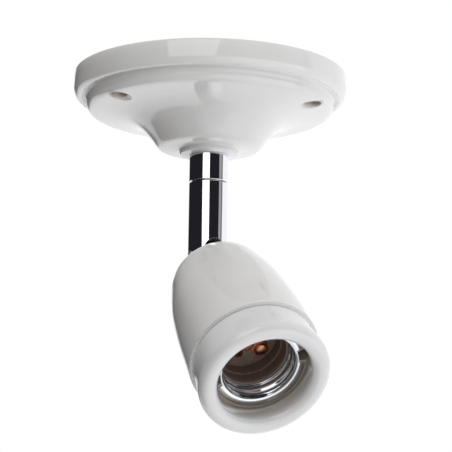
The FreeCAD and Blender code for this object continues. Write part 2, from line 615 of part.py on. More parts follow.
PARTS = {
    "ceiling_rose": ceiling_rose(),
    "nipple": threaded_tube(NIPPLE_R, NIPPLE_BORE_R, NIPPLE_END_Z, NIPPLE_TOP_Z),
    "nipple_washer": ring(NIPPLE_R, 9.4, CAVITY_FLOOR_Z, CAVITY_FLOOR_Z + 1.0, 0.2),
    "nipple_locknut": hex_nut(14.0, NIPPLE_R, CAVITY_FLOOR_Z + 1.8, CAVITY_FLOOR_Z + 4.8),
    "earth_tag": earth_tag(),
    "fixed_collar": fixed_collar(),
    "terminal_block": terminal_block(),
    "terminal_tubes": terminal_tubes(),
    "terminal_screws": terminal_screws(),
    "block_screws": block_screws(),
    "live_lead_rose": rose_lead(1),
    "neutral_lead_rose": rose_lead(-1),
    "earth_lead_rose": earth_lead(),
    "swivel_tube": swivel_tube(),
    "swivel_bush": swivel_bush(),
    "swivel_clip": swivel_clip(),
    "live_lead_tube": tube_lead(1),
    "neutral_lead_tube": tube_lead(-1),
    "knuckle": knuckle(),
    "pivot_screws": pivot_screws(),
    "stem_washer": place_holder(ring(NIPPLE_R, 8.6, DOME_WALL_T, DOME_WALL_T + 1.0, 0.2)),
    "stem_locknut": place_holder(hex_nut(14.0, NIPPLE_R, DOME_WALL_T + 1.0, DOME_WALL_T + 4.0)),
    "holder_dome": holder_dome(),
    "holder_skirt": holder_skirt(),
    "core": core(),
    "thread_shell": thread_shell(),
    "core_screws": core_screws(),
    "centre_contact": centre_contact(),
    "side_contact": side_contact(),
    "contact_rivets": contact_rivets(),
    "holder_terminals": holder_terminals(),
    "holder_terminal_screws": holder_terminal_screws(),
    "live_lead_holder": holder_lead(1, CENTRE_CONTACT_ANGLE),
    "neutral_lead_holder": holder_lead(-1, SIDE_CONTACT_ANGLE),
}

os.makedirs("parts", exist_ok=True)
for node, shape in PARTS.items():
    shape.exportStep("parts/" + node + ".step")
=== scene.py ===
import json
import math

import bpy
from mathutils import Matrix, Vector, noise

# Looks for the swivelling porcelain heat lamp holder: four shapes, a material for each slot,
# the camera and the studio.  Lengths are in millimetres, and MM turns them into metres.  The
# frame's origin is the middle of the rose's back face, and the fixture hangs below it.
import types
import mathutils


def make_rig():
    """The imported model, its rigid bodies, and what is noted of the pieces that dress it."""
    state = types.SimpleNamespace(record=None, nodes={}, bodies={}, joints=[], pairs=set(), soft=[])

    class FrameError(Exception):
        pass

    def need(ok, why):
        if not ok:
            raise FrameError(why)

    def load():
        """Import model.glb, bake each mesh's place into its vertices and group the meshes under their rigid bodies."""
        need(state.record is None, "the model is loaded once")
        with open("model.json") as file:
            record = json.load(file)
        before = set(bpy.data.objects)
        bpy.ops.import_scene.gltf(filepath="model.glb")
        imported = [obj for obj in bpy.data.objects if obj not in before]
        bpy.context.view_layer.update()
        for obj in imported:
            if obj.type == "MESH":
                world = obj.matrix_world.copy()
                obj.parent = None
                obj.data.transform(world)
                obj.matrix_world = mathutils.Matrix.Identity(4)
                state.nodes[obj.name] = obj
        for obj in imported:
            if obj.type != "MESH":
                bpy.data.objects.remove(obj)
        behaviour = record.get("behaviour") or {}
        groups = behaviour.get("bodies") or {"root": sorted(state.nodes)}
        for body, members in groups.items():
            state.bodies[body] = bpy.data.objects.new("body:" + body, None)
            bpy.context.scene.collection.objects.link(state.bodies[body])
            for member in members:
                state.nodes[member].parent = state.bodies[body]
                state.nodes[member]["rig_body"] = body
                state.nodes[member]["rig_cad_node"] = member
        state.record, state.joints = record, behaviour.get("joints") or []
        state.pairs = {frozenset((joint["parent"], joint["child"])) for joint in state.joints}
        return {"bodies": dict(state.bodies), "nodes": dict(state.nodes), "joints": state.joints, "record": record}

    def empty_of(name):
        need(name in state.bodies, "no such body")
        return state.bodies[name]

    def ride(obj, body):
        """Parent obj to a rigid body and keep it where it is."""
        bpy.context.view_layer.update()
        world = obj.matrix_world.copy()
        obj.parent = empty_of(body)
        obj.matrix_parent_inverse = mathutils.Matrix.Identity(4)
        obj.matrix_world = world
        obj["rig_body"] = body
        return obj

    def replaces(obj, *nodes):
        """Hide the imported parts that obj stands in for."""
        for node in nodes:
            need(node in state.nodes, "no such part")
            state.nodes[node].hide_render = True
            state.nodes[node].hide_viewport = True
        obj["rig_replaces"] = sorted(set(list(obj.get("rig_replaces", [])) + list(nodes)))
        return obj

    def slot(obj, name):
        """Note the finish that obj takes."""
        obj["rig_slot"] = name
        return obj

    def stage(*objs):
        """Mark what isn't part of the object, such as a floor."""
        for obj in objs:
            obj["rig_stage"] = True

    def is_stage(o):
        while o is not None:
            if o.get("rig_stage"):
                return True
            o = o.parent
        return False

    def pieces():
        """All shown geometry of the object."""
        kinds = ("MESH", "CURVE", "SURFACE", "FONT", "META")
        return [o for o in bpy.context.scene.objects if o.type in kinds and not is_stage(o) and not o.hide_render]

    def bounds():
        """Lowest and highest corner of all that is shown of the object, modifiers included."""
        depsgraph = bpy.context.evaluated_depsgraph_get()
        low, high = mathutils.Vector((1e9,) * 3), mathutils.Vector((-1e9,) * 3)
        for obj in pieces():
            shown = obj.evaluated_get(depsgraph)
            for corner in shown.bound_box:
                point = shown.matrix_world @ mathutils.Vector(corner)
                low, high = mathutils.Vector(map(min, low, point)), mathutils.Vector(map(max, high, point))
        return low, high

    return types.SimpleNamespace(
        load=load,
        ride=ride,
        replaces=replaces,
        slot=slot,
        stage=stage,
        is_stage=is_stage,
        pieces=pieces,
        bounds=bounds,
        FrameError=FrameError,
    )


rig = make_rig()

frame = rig.load()
cad_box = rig.bounds()
nodes = frame["nodes"]

MM = 0.001
TURN = 352                      # segments round a turned surface
SHARP_ANGLE = 32.0              # degrees: steeper edges are shaded sharp

# ---------------------------------------------------------------- shared dimensions

# ceiling rose
ROSE_R = 50.0
EDGE_Z = -9.3
PLATE_Z = -13.8
NECK_Z = -28.2
BOSS_R = 10.8
BOSS_Z = -30.4
CAVITY_R = 44.5
CAVITY_FLOOR_R = 13.3
CAVITY_FLOOR_Z = -23.2
STEM_WAY_R = 5.2                # hole for the nipple, and for the stem in the dome

# screw holes and the pad under the terminal block
SCREW_CIRCLE_R = 40.5
SCREW_HOLE_ANGLES = (90, 210, 330)
SCREW_HOLE_R = 2.5
SCREW_MOUTH_R = 5.4
SCREW_PILLAR_R = 4.4
PILLAR_FACE_Z = -0.02
BLOCK_Y = 21.0
BLOCK_SCREW_X = 4.25
BLOCK_SCREW_R = 1.2
PAD_HALF = (12.5, 5.5)
PAD_Z = (-17, -10)

# lamp holder: T is the distance from the tilt axis along the holder's own axis
PIVOT_Z = -69.4
HOLDER_TILT = 44.5
HOLDER_TURN = 17.6
DOME_TOP_T = 9.4
SEAT_T = 10.4
SEAT_R = 7.5
DOME_WALL_T = 14.6
DOME_WAY_R = 18.0
REBATE_R = 20.0
REBATE_T = 51.5
SEAM_T = 59.0
SEAM_R = 23.4
FACE_T = SEAM_T + 0.12          # the skirt starts just clear of the dome
SKIRT_NECK_R = 22.55
SPIGOT_R = 19.9
SPIGOT_BORE_R = 17.75
SPIGOT_END_T = 52.0
CORE_BACK_T = 41.6
CORE_TOP_T = 65.2
LEDGE_T = CORE_TOP_T + 0.6
MOUTH_T = 65.6
LAMP_WAY_END_T = 71.2
RIM_T = 73.9
RIM_R = 23.6
LAMP_WAY_R = 17.1
NOTCH_ANGLE = 26.6
CORE_SCREW_CIRCLE_R = 15.9
SCREW_POCKET_R = 2.5
SCREW_POCKET_DEPTH = 4.0

# rolled thread
THREAD_PITCH = 3.629
THREAD_RUN_IN = 0.8
THREAD_RUN_OUT = 0.9
SHELL_MID_R = 12.95
SHELL_WAVE = 0.45
SHELL_SHEET = 0.4
SHELL_WALL = 0.38
SHELL_DEPTH = 7.6
SHELL_LIP = 0.35
SHELL_TURN = 240
SHELL_ROWS = 64
FLANGE_R = 16.25
NOTCH_FLOOR_R = 14.1
NOTCH_HALF_WIDTH = 3.1

CONTACT_R = 7.0
CENTRE_CONTACT_ANGLE = -22.0
SLOT_ARCH_AT = (0, 0, -66.3)
SLOT_R = 3.8

HOLDER_PLACE = (Matrix.Translation((0, 0, PIVOT_Z * MM))
                @ Matrix.Rotation(math.radians(HOLDER_TURN), 4, "Z")
                @ Matrix.Rotation(math.radians(180 - HOLDER_TILT), 4, "X"))
HOLDER_AXIS = HOLDER_PLACE.to_3x3() @ Vector((0, 0, 1))


# ---------------------------------------------------------------- shapes

def through(points, steps=8):
    """Smooth line through the points, as (r, z) pairs."""
    ends = [points[0]] + list(points) + [points[-1]]
    line = []
    for i in range(1, len(ends) - 2):
        p0, p1, p2, p3 = (Vector(p) for p in ends[i - 1:i + 3])
        for k in range(steps):
            t = k / steps
            a = 2 * p1
            b = (p2 - p0) * t
            c = (2 * p0 - 5 * p1 + 4 * p2 - p3) * t * t
            d = (3 * p1 - p0 - 3 * p2 + p3) * t ** 3
            line.append(tuple(0.5 * (a + b + c + d)))
    line.append(tuple(points[-1]))
    return line


def outline(*pieces):
    """Closed outline from ("line" or "curve", points) pieces with no doubled points."""
    line = []
    for kind, points in pieces:
        for p in (through(points) if kind == "curve" else points):
            if not line or math.dist(p, line[-1]) > 1e-4:
                line.append(tuple(p))
    return line


def make_object(name, verts, faces, place=None, sharp=SHARP_ANGLE):
    """Smooth shaded object from points in millimetres."""
    mesh = bpy.data.meshes.new(name)
    mesh.from_pydata([Vector(v) * MM for v in verts], [], faces)
    if place is not None:
        mesh.transform(place)
    mesh.shade_smooth()
    mesh.set_sharp_from_angle(angle=math.radians(sharp))
    mesh.validate()
    piece = bpy.data.objects.new(name, mesh)
    bpy.context.scene.collection.objects.link(piece)
    return piece


def ring_mesh(rings, closed=True):
    """Points and faces of a surface that joins each ring's outline to the next one's."""
    n = len(rings[0])
    faces = []
    for i in range(len(rings)):
        j = (i + 1) % len(rings)
        for k in range(n if closed else n - 1):
            m = (k + 1) % n
            faces.append((i * n + k, j * n + k, j * n + m, i * n + m))
    return [point for ring in rings for point in ring], faces


def spun(line, angle):
    """The (r, z) outline at an angle in radians about Z."""
    return [(r * math.cos(angle), r * math.sin(angle), z) for r, z in line]


def lathe(name, line, place=None, segments=TURN, closed=True):
    """Turned surface of the (r, z) outline about Z."""
    rings = [spun(line, 2 * math.pi * i / segments) for i in range(segments)]
    return make_object(name, *ring_mesh(rings, closed), place)


def carve(piece, cutter, operation="DIFFERENCE"):
    """Cut the cutter from the piece, or join it on, and keep only the result."""
    step = piece.modifiers.new("carve", "BOOLEAN")
    step.operation = operation
    step.solver = "EXACT"
    step.object = cutter
    graph = bpy.context.evaluated_depsgraph_get()
    mesh = bpy.data.meshes.new_from_object(piece.evaluated_get(graph))
    piece.modifiers.clear()
    piece.data = mesh
    mesh.shade_smooth()
    mesh.set_sharp_from_angle(angle=math.radians(SHARP_ANGLE))
    bpy.data.objects.remove(cutter)


def rod_line(radius, low, high):
    """Outline of a plain rod."""
    return [(0, low), (radius, low), (radius, high), (0, high)]


def cutter_box(x0, x1, y0, y1, z0, z1):
    verts = [(x, y, z) for x in (x0, x1) for y in (y0, y1) for z in (z0, z1)]
    faces = [(0, 1, 3, 2), (4, 6, 7, 5), (0, 4, 5, 1), (2, 3, 7, 6), (0, 2, 6, 4), (1, 5, 7, 3)]
    return make_object("cutter", verts, faces)


def shift(x, y, z=0.0):
    """Move in millimetres."""
    return Matrix.Translation(Vector((x, y, z)) * MM)


def on_circle(radius, angle):
    """Point at an angle in degrees from +X."""
    a = math.radians(angle)
    return radius * math.cos(a), radius * math.sin(a)


def uneven(piece, depth, size):
    """Hand-glazed unevenness: push each point along its normal by slow noise."""
    mesh = piece.data
    moves = []
    for v in mesh.vertices:
        lift = noise.noise(v.co / (size * MM)) + 0.4 * noise.noise(v.co / (size * 0.4 * MM))
        moves.append(v.co + v.normal * lift * depth * MM)
    for v, co in zip(mesh.vertices, moves):
        v.co = co
    mesh.update()


# ---------------------------------------------------------------- ceiling rose

def rose_outline():
    """Glazed outside, then the hollow back."""
    return outline(
        ("line", [(CAVITY_R, 0), (49.2, 0)]),
        ("curve", [(49.2, 0), (49.75, -0.2), (ROSE_R, -0.8)]),
        ("line", [(ROSE_R, -0.8), (ROSE_R, EDGE_Z + 2.6)]),
        ("curve", [(ROSE_R, EDGE_Z + 2.6), (49.3, EDGE_Z + 0.9), (48.2, EDGE_Z + 0.1),
                   (47.2, EDGE_Z + 0.25), (46.5, EDGE_Z + 0.8), (46.05, EDGE_Z + 0.3),
                   (45.8, EDGE_Z - 0.7), (45.45, EDGE_Z - 1.8), (45.2, PLATE_Z + 1.6),
                   (44.5, PLATE_Z + 0.3), (42.9, PLATE_Z - 0.5), (38.0, PLATE_Z - 1.3),
                   (33.0, PLATE_Z - 2.3), (28.5, PLATE_Z - 3.9), (25.0, PLATE_Z - 6.2),
                   (22.4, PLATE_Z - 8.9), (20.6, PLATE_Z - 11.2), (19.3, NECK_Z + 1.4),
                   (18.2, NECK_Z + 0.4), (16.6, NECK_Z)]),
        ("line", [(16.6, NECK_Z), (BOSS_R + 0.9, NECK_Z)]),
        ("curve", [(BOSS_R + 0.9, NECK_Z), (BOSS_R + 0.2, NECK_Z - 0.3),
                   (BOSS_R, NECK_Z - 0.9)]),
        ("curve", [(BOSS_R, NECK_Z - 0.9), (BOSS_R, BOSS_Z + 0.8), (BOSS_R - 0.25, BOSS_Z + 0.2),
                   (BOSS_R - 0.9, BOSS_Z)]),
        ("line", [(BOSS_R - 0.9, BOSS_Z), (STEM_WAY_R, BOSS_Z), (STEM_WAY_R, CAVITY_FLOOR_Z),
                  (CAVITY_FLOOR_R, CAVITY_FLOOR_Z)]),
        ("curve", [(CAVITY_FLOOR_R, CAVITY_FLOOR_Z), (15.6, -22.0), (17.5, -18.6), (20.5, -14.8),
                   (25.5, -12.0), (32.0, -10.6), (39.5, -9.6)]),
        ("line", [(39.5, -9.6), (CAVITY_R, -4.8)]))


def screw_hole_outline():
    """The hole, with a rounded mouth below."""
    return outline(
        ("line", [(0, -20), (SCREW_MOUTH_R, -20), (SCREW_MOUTH_R, -16.2)]),
        ("curve", [(SCREW_MOUTH_R, -16.2), (4.3, -15.0), (3.1, -14.1), (SCREW_HOLE_R, -12.6)]),
        ("line", [(SCREW_HOLE_R, -12.6), (SCREW_HOLE_R, 1), (0, 1)]))


rose = lathe("rose_glazed", rose_outline())
pad_x, pad_y = PAD_HALF
carve(rose, cutter_box(-pad_x, pad_x, BLOCK_Y - pad_y, BLOCK_Y + pad_y, *PAD_Z), "UNION")
for hole_angle in SCREW_HOLE_ANGLES:
    spot = shift(*on_circle(SCREW_CIRCLE_R, hole_angle))
    pillar = rod_line(SCREW_PILLAR_R, -12.5, PILLAR_FACE_Z)
    carve(rose, lathe("cutter", pillar, spot, 96, False), "UNION")
    carve(rose, lathe("cutter", screw_hole_outline(), spot, 96, False))
for x in (-BLOCK_SCREW_X, BLOCK_SCREW_X):
    thread_hole = rod_line(BLOCK_SCREW_R, -14, -8)
    carve(rose, lathe("cutter", thread_hole, shift(x, BLOCK_Y), 32, False))
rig.replaces(rose, "ceiling_rose")
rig.slot(rose, "rose_porcelain")
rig.ride(rose, "rose")

# ---------------------------------------------------------------- holder shells

dome = lathe("dome_glazed", outline(
    ("line", [(STEM_WAY_R, SEAT_T), (SEAT_R, SEAT_T), (SEAT_R, DOME_TOP_T + 0.3)]),
    ("curve", [(SEAT_R, DOME_TOP_T + 0.3), (7.6, DOME_TOP_T + 0.07), (7.9, DOME_TOP_T)]),
    ("line", [(7.9, DOME_TOP_T), (12.8, DOME_TOP_T)]),
    ("curve", [(12.8, DOME_TOP_T), (14.6, DOME_TOP_T + 0.6), (16.1, DOME_TOP_T + 2.1),
               (17.4, DOME_TOP_T + 5.0), (18.3, 17.3), (20.5, 26.0), (21.8, 35.0),
               (22.7, 44.0), (23.2, 52.0), (SEAM_R, SEAM_T - 0.9),
               (SEAM_R - 0.25, SEAM_T - 0.25), (SEAM_R - 0.9, SEAM_T)]),
    ("line", [(SEAM_R - 0.9, SEAM_T), (REBATE_R, SEAM_T), (REBATE_R, REBATE_T),
              (DOME_WAY_R, REBATE_T), (DOME_WAY_R, CORE_BACK_T), (17.7, CORE_BACK_T)]),
    ("curve", [(17.7, CORE_BACK_T), (17.2, 32.0), (16.0, 23.0), (13.6, 16.6),
               (11.0, DOME_WALL_T)]),
    ("line", [(11.0, DOME_WALL_T), (STEM_WAY_R, DOME_WALL_T)])), HOLDER_PLACE)
uneven(dome, depth=0.09, size=22)
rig.replaces(dome, "holder_dome")
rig.slot(dome, "dome_porcelain")
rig.ride(dome, "holder")

skirt = lathe("skirt_glazed", outline(
    ("line", [(SPIGOT_R, FACE_T), (SKIRT_NECK_R - 0.75, FACE_T)]),
    ("curve", [(SKIRT_NECK_R - 0.75, FACE_T), (SKIRT_NECK_R - 0.2, FACE_T + 0.3),
               (SKIRT_NECK_R, FACE_T + 1.0), (22.75, 64.0), (23.2, 67.5), (RIM_R, 70.3),
               (23.3, 72.1), (22.4, 73.3), (20.9, RIM_T), (19.3, 73.75), (18.1, 73.1),
               (17.35, 72.2), (LAMP_WAY_R, LAMP_WAY_END_T)]),
    ("line", [(LAMP_WAY_R, LAMP_WAY_END_T), (LAMP_WAY_R, LEDGE_T),
              (LAMP_WAY_R + 0.3, LEDGE_T), (LAMP_WAY_R + 0.3, CORE_TOP_T),
              (SPIGOT_BORE_R, CORE_TOP_T), (SPIGOT_BORE_R, SPIGOT_END_T),
              (SPIGOT_R - 0.5, SPIGOT_END_T), (SPIGOT_R, SPIGOT_END_T + 0.5)])), HOLDER_PLACE)
uneven(skirt, depth=0.06, size=18)
for turn in (0, 180):
    spot = HOLDER_PLACE @ shift(*on_circle(CORE_SCREW_CIRCLE_R, NOTCH_ANGLE + turn))
    pocket = rod_line(SCREW_POCKET_R, CORE_TOP_T - 0.1, CORE_TOP_T + SCREW_POCKET_DEPTH)
    carve(skirt, lathe("cutter", pocket, spot, 64, False))
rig.replaces(skirt, "holder_skirt")
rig.slot(skirt, "skirt_porcelain")
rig.ride(skirt, "holder")

# ---------------------------------------------------------------- threaded shell

def notched(angle, radius):
    """True where the flange is cut away for a core screw."""
    off = (angle - math.radians(NOTCH_ANGLE)) % math.pi
    return radius * math.sin(min(off, math.pi - off)) < NOTCH_HALF_WIDTH


def thread_radius(angle, z, low, top):
    """Inner radius of the rolled helix, which fades out at both of its ends."""
    turn = (z - low) / THREAD_PITCH - angle / (2 * math.pi)
    fade = min(1.0, (z - low) / THREAD_RUN_IN, (top - z) / THREAD_RUN_OUT)
    end = 0.9 if z > MOUTH_T - 3.4 else -0.6
    wave = fade * -math.cos(2 * math.pi * turn) + (1 - fade) * end
    return SHELL_MID_R + SHELL_WAVE * wave


def shell_mesh():
    """Rolled helical thread that runs out into the notched flange."""
    low = MOUTH_T - SHELL_DEPTH
    top = MOUTH_T - SHELL_LIP
    rings = []
    for i in range(SHELL_TURN):
        angle = 2 * math.pi * i / SHELL_TURN
        heights = [low + (top - low) * k / SHELL_ROWS for k in range(SHELL_ROWS + 1)]
        inside = [(thread_radius(angle, z, low, top), z) for z in heights]
        flange_r = NOTCH_FLOOR_R if notched(angle, FLANGE_R) else FLANGE_R
        flange = [(SHELL_MID_R + 0.72, MOUTH_T - 0.1), (SHELL_MID_R + 1.15, MOUTH_T),
                  (flange_r - 0.1, MOUTH_T), (flange_r, MOUTH_T - 0.1),
                  (flange_r, MOUTH_T - SHELL_SHEET + 0.05),
                  (flange_r - 0.1, MOUTH_T - SHELL_SHEET),
                  (SHELL_MID_R + 1.05, MOUTH_T - SHELL_SHEET)]
        outside = [(r + SHELL_WALL, z) for r, z in reversed(inside)]
        rings.append(spun(inside + flange + outside, angle))
    return ring_mesh(rings)


shell = make_object("shell_rolled", *shell_mesh(), HOLDER_PLACE, sharp=50)
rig.replaces(shell, "thread_shell")
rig.slot(shell, "shell_nickel")
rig.ride(shell, "holder")


# ---------------------------------------------------------------- materials

def add_node(tree, kind):
    return tree.nodes.new("ShaderNode" + kind)


def colour_ramp(tree, value, stops):
    node = add_node(tree, "ValToRGB")
    points = node.color_ramp.elements
    while len(points) < len(stops):
        points.new(0.5)
    for point, (at, colour) in zip(points, stops):
        point.position = at
        point.color = (*colour, 1)
    tree.links.new(value, node.inputs["Fac"])
    return node.outputs["Color"]


def vector_math(tree, operation, a, b=None, result="Vector"):
    node = add_node(tree, "VectorMath")
    node.operation = operation
    tree.links.new(a, node.inputs[0])
    if b is not None:
        node.inputs[1].default_value = b
    return node.outputs[result]


def mix_colours(tree, mask, below, above):
    """below to above as the mask goes from 0 to 1; each is a colour or a node's output."""
    node = add_node(tree, "MixRGB")
    tree.links.new(mask, node.inputs["Fac"])
    for socket, value in ((node.inputs["Color1"], below), (node.inputs["Color2"], above)):
        if isinstance(value, tuple):
            socket.default_value = (*value, 1)
        else:
            tree.links.new(value, socket)
    return node.outputs["Color"]


class Look:
    """Node material on the piece's own coordinates, in metres."""

    def __init__(self, name):
        self.material = bpy.data.materials.new(name)
        self.material.use_nodes = True
        self.tree = self.material.node_tree
        self.shader = self.tree.nodes["Principled BSDF"]
        self.place = add_node(self.tree, "TexCoord").outputs["Object"]

    def set(self, **values):
        for name, value in values.items():
            self.shader.inputs[name.replace("_", " ")].default_value = value
        return self

    def link(self, a, b):
        self.tree.links.new(a, b)

    def noise(self, size_mm, detail=3.0, rough=0.5, stretch=(1, 1, 1)):
        scale = add_node(self.tree, "Mapping")
        scale.inputs["Scale"].default_value = [s / (size_mm * MM) for s in stretch]
        self.link(self.place, scale.inputs["Vector"])
        node = add_node(self.tree, "TexNoise")
        node.inputs["Scale"].default_value = 1.0
        node.inputs["Detail"].default_value = detail
        node.inputs["Roughness"].default_value = rough
        self.link(scale.outputs["Vector"], node.inputs["Vector"])
        return node.outputs["Fac"]

    def ramp(self, value, stops):
        return colour_ramp(self.tree, value, stops)

    def range(self, value, low, high, at=(0.3, 0.7)):
        node = add_node(self.tree, "MapRange")
        node.inputs["From Min"].default_value = at[0]
        node.inputs["From Max"].default_value = at[1]
        node.inputs["To Min"].default_value = low
        node.inputs["To Max"].default_value = high
        self.link(value, node.inputs["Value"])
        return node.outputs["Result"]

    def from_line(self, start, axis):
        """Distances in metres along and away from the line through start, in mm, by axis."""
        away = vector_math(self.tree, "SUBTRACT", self.place, Vector(start) * MM)
        along = vector_math(self.tree, "DOT_PRODUCT", away, axis, "Value")
        off = vector_math(self.tree, "CROSS_PRODUCT", away, axis)
        return along, vector_math(self.tree, "LENGTH", off, None, "Value")

    def between(self, value, low, high, at):
        """low to high as a value in metres crosses at, given in mm."""
        return self.range(value, low, high, (at[0] * MM, at[1] * MM))

    def blend(self, mask, below, above):
        return mix_colours(self.tree, mask, below, above)

    def colour(self, value, stops):
        self.link(self.ramp(value, stops), self.shader.inputs["Base Color"])
        return self

    def roughness(self, value, low, high):
        self.link(self.range(value, low, high), self.shader.inputs["Roughness"])
        return self

    def bump(self, *layers):
        """layers: (value, depth in mm)"""
        last = None
        for value, depth in layers:
            node = add_node(self.tree, "Bump")
            node.inputs["Strength"].default_value = 1.0
            node.inputs["Distance"].default_value = depth * MM
            self.link(value, node.inputs["Height"])
            if last is not None:
                self.link(last, node.inputs["Normal"])
            last = node.outputs["Normal"]
        self.link(last, self.shader.inputs["Normal"])
        return self


HOLE_BISQUE = (0.36, 0.30, 0.25)
# painted shade inside the mouth: dark brown deep down, pale grey near the rim
MOUTH_PAINTED_SHADE = ((0.0, (0.32, 0.28, 0.24)), (0.35, (0.50, 0.46, 0.41)),
                (1.0, (0.74, 0.73, 0.71)))
BARE_STEEL = (0.46, 0.42, 0.37)
BARE_STEEL_ROUGHNESS = 0.5
# painted shade on the copper away from the centre contact's rivet
COPPER_PAINTED_SHADE = (0.22, 0.06, 0.04)
# painted light on the core's outer end
CORE_PAINTED_LIGHT = (0.46, 0.40, 0.34)

# where each bare place, and each place of painted shade or painted light, fades in, in millimetres from its own axis
# or along it
HOLE_FADE_R = (2.8, 4.4)
MOUTH_FADE_R = (17.3, 18.3)
MOUTH_FADE_T = (70.0, 72.0)
MOUTH_SHADE_T = (LEDGE_T, 71.6)
SLOT_FADE_R = (SLOT_R + 0.05, SLOT_R + 0.15)
COPPER_SHADE_FADE_R = (3.0, 8.0)
CORE_LIGHT_FADE_T = (56.0, 60.0)


def bare_holes(look, glaze):
    """The screw holes are unglazed."""
    for angle in SCREW_HOLE_ANGLES:
        x, y = on_circle(SCREW_CIRCLE_R, angle)
        off = look.from_line((x, y, 0), (0, 0, 1))[1]
        glaze = look.blend(look.between(off, 1, 0, HOLE_FADE_R), glaze, HOLE_BISQUE)
    return glaze


def shade_mouth_inside(look, glaze):
    """Painted shade: inside the mouth the glaze is painted browner and darker the deeper it goes."""
    along, off = look.from_line((0, 0, PIVOT_Z), HOLDER_AXIS)
    depth = look.between(along, 0, 1, MOUTH_SHADE_T)
    painted_shade = look.ramp(depth, MOUTH_PAINTED_SHADE)
    inside = look.between(off, 1, 0, MOUTH_FADE_R)
    fade = look.between(along, 1, 0, MOUTH_FADE_T)
    product = add_node(look.tree, "Math")
    product.operation = "MULTIPLY"
    look.link(inside, product.inputs[0])
    look.link(fade, product.inputs[1])
    return look.blend(product.outputs["Value"], glaze, painted_shade)


def porcelain(name, light, shade, bare_or_painted=None):
    """Glaze between two tones; the last argument adds its unglazed places, or its painted shade."""
    look = Look(name)
    glaze = look.ramp(look.noise(24, 4), [(0.30, shade), (0.72, light)])
    if bare_or_painted is not None:
        glaze = bare_or_painted(look, glaze)
    look.link(glaze, look.shader.inputs["Base Color"])
    look.roughness(look.noise(6, 3), 0.02, 0.06)
    look.bump((look.noise(9, 2), 0.02), (look.noise(1.1, 2), 0.0015))
    look.set(IOR=1.52, Coat_Weight=0.35, Coat_Roughness=0.04)
    return look.material


def bare_slot(look, plate, gloss):
    """The arch of the fork's slot is bare steel inside."""
    across = Matrix.Rotation(math.radians(HOLDER_TURN), 3, "Z") @ Vector((0, 1, 0))
    off = look.from_line(SLOT_ARCH_AT, across)[1]
    inside = look.between(off, 1, 0, SLOT_FADE_R)
    mixed = look.blend(inside, gloss, (BARE_STEEL_ROUGHNESS,) * 3)
    return look.blend(inside, plate, BARE_STEEL), mixed


def shade_copper_off_rivet(look, plate, gloss):
    """Painted shade: the copper away from the centre contact's rivet is painted dark red."""
    rivet = HOLDER_PLACE @ (Vector((*on_circle(CONTACT_R, CENTRE_CONTACT_ANGLE), 0)) * MM)
    off = look.from_line(rivet / MM, HOLDER_AXIS)[1]
    return look.blend(look.between(off, 0, 1, COPPER_SHADE_FADE_R), plate, COPPER_PAINTED_SHADE), gloss


def metal(name, light, shade, rough, grain_mm=0.4, depth=0.002, stretch=(1, 1, 1), bare_or_painted=None):
    """Metal between two tones, its roughness from rough[0] to rough[1]."""
    look = Look(name)
    plate = look.ramp(look.noise(5, 4), [(0.3, shade), (0.7, light)])
    gloss = look.range(look.noise(2.5, 4), *rough)
    if bare_or_painted is not None:
        plate, gloss = bare_or_painted(look, plate, gloss)
    look.link(plate, look.shader.inputs["Base Color"])
    look.link(gloss, look.shader.inputs["Roughness"])
    look.bump((look.noise(grain_mm, 3, 0.6, stretch), depth))
    look.set(Metallic=1.0)
    return look.material


def light_core_outer_end(look, body):
    """Painted light: the core is painted paler round its outer end, beside the shell's flange."""
    along = look.from_line((0, 0, PIVOT_Z), HOLDER_AXIS)[0]
    return look.blend(look.between(along, 0, 1, CORE_LIGHT_FADE_T), body, CORE_PAINTED_LIGHT)


def matte(name, light, shade, rough=(0.5, 0.7), grain_mm=0.5, depth=0.02, bare_or_painted=None):
    """Unpolished body between two tones; the last argument adds its painted light."""
    look = Look(name)
    body = look.ramp(look.noise(1.4, 6, 0.65), [(0.3, shade), (0.7, light)])
    if bare_or_painted is not None:
        body = bare_or_painted(look, body)
    look.link(body, look.shader.inputs["Base Color"])
    look.roughness(look.noise(3, 3), *rough)
    look.bump((look.noise(grain_mm, 4), depth))
    return look.material


